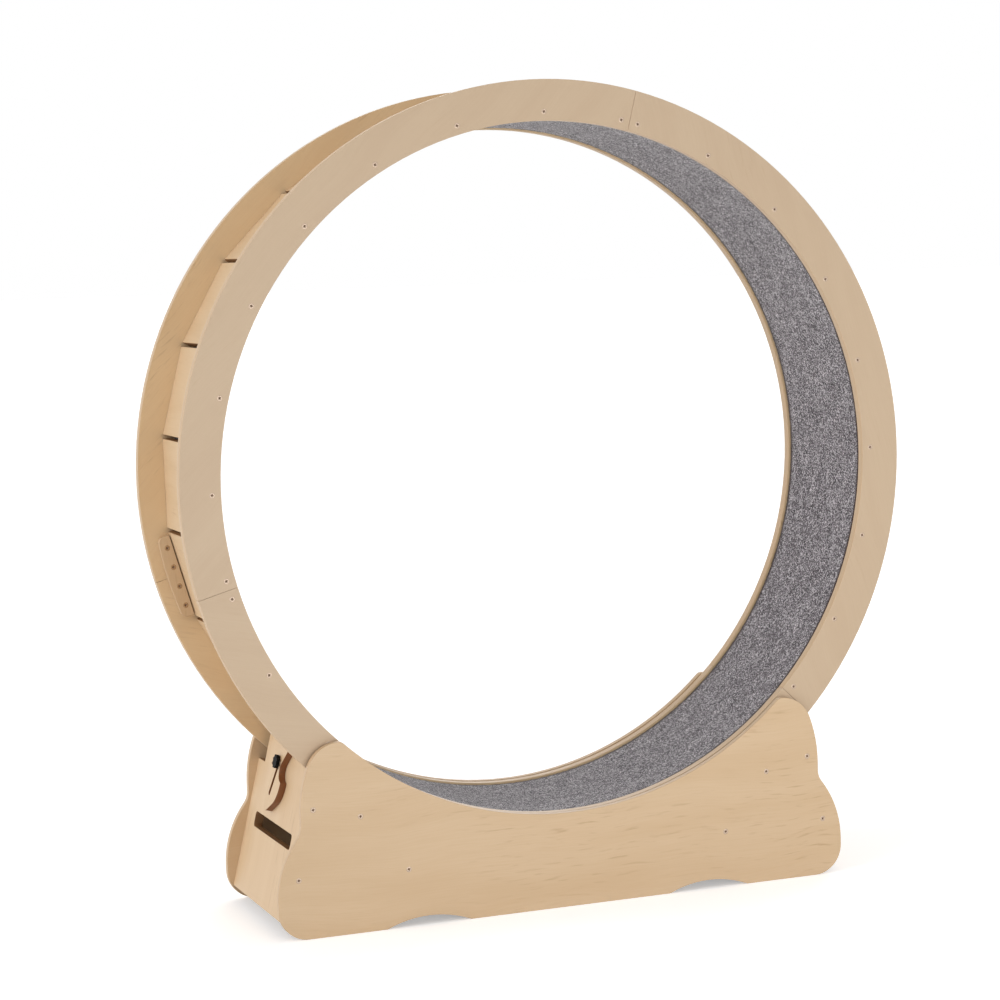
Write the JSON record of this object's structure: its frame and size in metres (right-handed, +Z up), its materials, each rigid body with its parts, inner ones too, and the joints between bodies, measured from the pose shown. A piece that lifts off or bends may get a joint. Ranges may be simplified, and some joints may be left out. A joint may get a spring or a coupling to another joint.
{
  "type": "cat exercise wheel",
  "caption": "Large plywood running wheel for cats, carpeted inside, lying on flanged rollers in a low wooden base with handle slots and a wheel lock.",
  "frame": {"origin": "on the floor, below the centre of the wheel", "axes": "+Z up, Y along the wheel's axis with the front towards -Y, +X to the right seen from the front; the lock is on the -X end"},
  "size_m": [1, 0.252, 1.0715],
  "materials": {
    "birch_plywood": "sanded, oiled birch plywood",
    "lever_plywood": "sanded plywood with a darkened cut edge",
    "carpet": "short heather-grey loop pile",
    "zinc_screw": "zinc-plated",
    "bright_steel": "ground",
    "zinc_insert": "zinc-plated",
    "galvanised_steel": "galvanised sheet",
    "nylon": "moulded nylon",
    "knob_plastic": "moulded, satin"
  },
  "bodies": {
    "base": {"front_side_plate": "birch_plywood", "rear_side_plate": "birch_plywood", "left_end_panel": "birch_plywood", "right_end_panel": "birch_plywood", "left_roller_board": "birch_plywood", "right_roller_board": "birch_plywood", "base_screws": "zinc_screw", "roller_pins": "bright_steel", "bracket_screws": "zinc_screw", "lock_insert": "zinc_insert", "roller_bracket_front_left": "galvanised_steel", "roller_bracket_front_right": "galvanised_steel", "roller_bracket_rear_left": "galvanised_steel", "roller_bracket_rear_right": "galvanised_steel"},
    "wheel": {"front_ring_section_1": "birch_plywood", "front_ring_section_2": "birch_plywood", "front_ring_section_3": "birch_plywood", "rear_ring_section_1": "birch_plywood", "rear_ring_section_2": "birch_plywood", "rear_ring_section_3": "birch_plywood", "slat_01": "birch_plywood", "slat_02": "birch_plywood", "slat_03": "birch_plywood", "slat_04": "birch_plywood", "slat_05": "birch_plywood", "slat_06": "birch_plywood", "slat_07": "birch_plywood", "slat_08": "birch_plywood", "slat_09": "birch_plywood", "slat_10": "birch_plywood", "slat_11": "birch_plywood", "slat_12": "birch_plywood", "slat_13": "birch_plywood", "slat_14": "birch_plywood", "slat_15": "birch_plywood", "slat_16": "birch_plywood", "slat_17": "birch_plywood", "slat_18": "birch_plywood", "slat_19": "birch_plywood", "slat_20": "birch_plywood", "slat_21": "birch_plywood", "slat_22": "birch_plywood", "slat_23": "birch_plywood", "slat_24": "birch_plywood", "carpet_runner": "carpet", "front_joint_plates": "birch_plywood", "rear_joint_plates": "birch_plywood", "ring_screws": "zinc_screw", "joint_plate_screws": "zinc_screw"},
    "roller_front_left": {"roller_front_left": "nylon", "roller_bearing_front_left": "bright_steel"},
    "roller_front_right": {"roller_front_right": "nylon", "roller_bearing_front_right": "bright_steel"},
    "roller_rear_left": {"roller_rear_left": "nylon", "roller_bearing_rear_left": "bright_steel"},
    "roller_rear_right": {"roller_rear_right": "nylon", "roller_bearing_rear_right": "bright_steel"},
    "lock_washer": {"lock_washer": "zinc_insert"},
    "lock_lever": {"lock_lever": "lever_plywood"},
    "lock_knob": {"lock_knob": "knob_plastic"}
  },
  "joints": [
    {"name": "wheel_spin", "type": "hinge", "parent": "base", "child": "wheel", "pos_m": [0, 0, 0.5715], "axis": [0, 1, 0], "continuous": true},
    {"name": "roller_front_left_spin", "type": "hinge", "parent": "base", "child": "roller_front_left", "pos_m": [-0.19053, 0, 0.08734], "axis": [0, 1, 0], "continuous": true},
    {"name": "roller_front_right_spin", "type": "hinge", "parent": "base", "child": "roller_front_right", "pos_m": [0.19053, 0, 0.08734], "axis": [0, 1, 0], "continuous": true},
    {"name": "roller_rear_left_spin", "type": "hinge", "parent": "base", "child": "roller_rear_left", "pos_m": [-0.19053, 0, 0.08734], "axis": [0, 1, 0], "continuous": true},
    {"name": "roller_rear_right_spin", "type": "hinge", "parent": "base", "child": "roller_rear_right", "pos_m": [0.19053, 0, 0.08734], "axis": [0, 1, 0], "continuous": true},
    {"name": "lock_swing", "type": "hinge", "parent": "base", "child": "lock_washer", "pos_m": [-0.34505, 0, 0.20234], "axis": [-0.9703, 0, 0.2419], "range_deg": [-70.8, 109.2]},
    {"name": "lock_slide", "type": "slide", "parent": "lock_washer", "child": "lock_lever", "axis": [0.2285, -0.3289, 0.9163], "range_m": [0, 0.0055]},
    {"name": "knob_turn", "type": "hinge", "parent": "base", "child": "lock_knob", "pos_m": [-0.34505, 0, 0.20234], "axis": [-0.9703, 0, 0.2419], "range_deg": [0, 360]}
  ],
  "couplings": [
    {"joint": "roller_front_left_spin", "follows": "wheel_spin", "ratio": -25},
    {"joint": "roller_front_right_spin", "follows": "wheel_spin", "ratio": -25},
    {"joint": "roller_rear_left_spin", "follows": "wheel_spin", "ratio": -25},
    {"joint": "roller_rear_right_spin", "follows": "wheel_spin", "ratio": -25}
  ]
}
